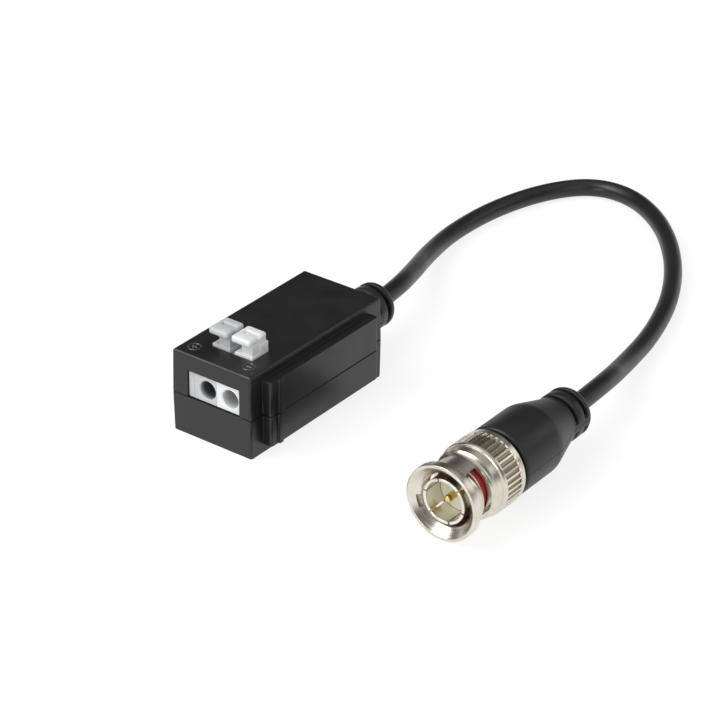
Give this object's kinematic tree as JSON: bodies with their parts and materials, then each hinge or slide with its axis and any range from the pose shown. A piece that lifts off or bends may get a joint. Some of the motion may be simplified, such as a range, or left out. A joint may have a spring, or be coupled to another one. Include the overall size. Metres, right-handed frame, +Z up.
{
  "type": "video balun",
  "caption": "Passive video balun: a small housing with a two-way push-button wire terminal, and a short coaxial pigtail ending in a bayonet plug.",
  "frame": {"origin": "centre of the housing's base, on the surface that it stands on", "axes": "+Z up, -Y out of the wire entries, +X to the side with the grip rail and the plug"},
  "size_m": [0.0743, 0.1294, 0.0202],
  "materials": {
    "black_plastic": "moulded, fine spark-eroded grain",
    "grey_plastic": "moulded, smooth",
    "white_plastic": "moulded, smooth",
    "tinned_copper": "tin plated",
    "spring_steel": "cold rolled strip",
    "board_laminate": "glass laminate under solder resist",
    "ferrite": "sintered",
    "enamelled_wire": "enamelled copper",
    "chip_body": "moulded epoxy",
    "chip_ceramic": "fired ceramic",
    "black_rubber": "moulded flexible vinyl",
    "cord_jacket": "extruded vinyl",
    "nickel": "nickel plated, turned",
    "cream_dielectric": "turned plastic",
    "gold": "gold plated",
    "red_rubber": "moulded silicone"
  },
  "bodies": {
    "housing": {"upper_shell": "black_plastic", "lower_shell": "black_plastic", "terminal_module_left": "grey_plastic", "terminal_module_right": "white_plastic", "contact_bar_left": "tinned_copper", "contact_bar_right": "tinned_copper", "clamp_spring_left": "spring_steel", "clamp_spring_right": "spring_steel", "circuit_board": "board_laminate", "transformer_core": "ferrite", "winding_line_side": "enamelled_wire", "winding_coax_side": "enamelled_wire", "surge_suppressor": "chip_body", "chip_resistors": "chip_body", "chip_capacitor": "chip_ceramic", "cord_grommet": "black_rubber", "cord_inner_end": "cord_jacket", "coax_cord": "cord_jacket", "cord_plug_end": "cord_jacket", "plug_boot": "black_rubber", "plug_body": "nickel", "plug_insulator": "cream_dielectric", "centre_pin": "gold", "sealing_gasket": "red_rubber", "wave_washer": "spring_steel", "crimp_ferrule": "nickel"},
    "button_left": {"push_button_left": "grey_plastic"},
    "button_right": {"push_button_right": "white_plastic"},
    "thrust": {"thrust_ring": "nickel"},
    "coupling": {"coupling_sleeve": "nickel"}
  },
  "joints": [
    {"name": "button_left_press", "type": "slide", "parent": "housing", "child": "button_left", "axis": [0, 0, -1], "range_m": [0, 0.0012], "stiffness_N_per_m": 2500},
    {"name": "button_right_press", "type": "slide", "parent": "housing", "child": "button_right", "axis": [0, 0, -1], "range_m": [0, 0.0012], "stiffness_N_per_m": 2500},
    {"name": "coupling_travel", "type": "slide", "parent": "housing", "child": "thrust", "axis": [0, -1, 0], "range_m": [0, 0.0008], "stiffness_N_per_m": 5000},
    {"name": "coupling_spin", "type": "hinge", "parent": "thrust", "child": "coupling", "pos_m": [0.0499, -0.012, 0.00715], "axis": [0, 1, 0], "continuous": true}
  ]
}
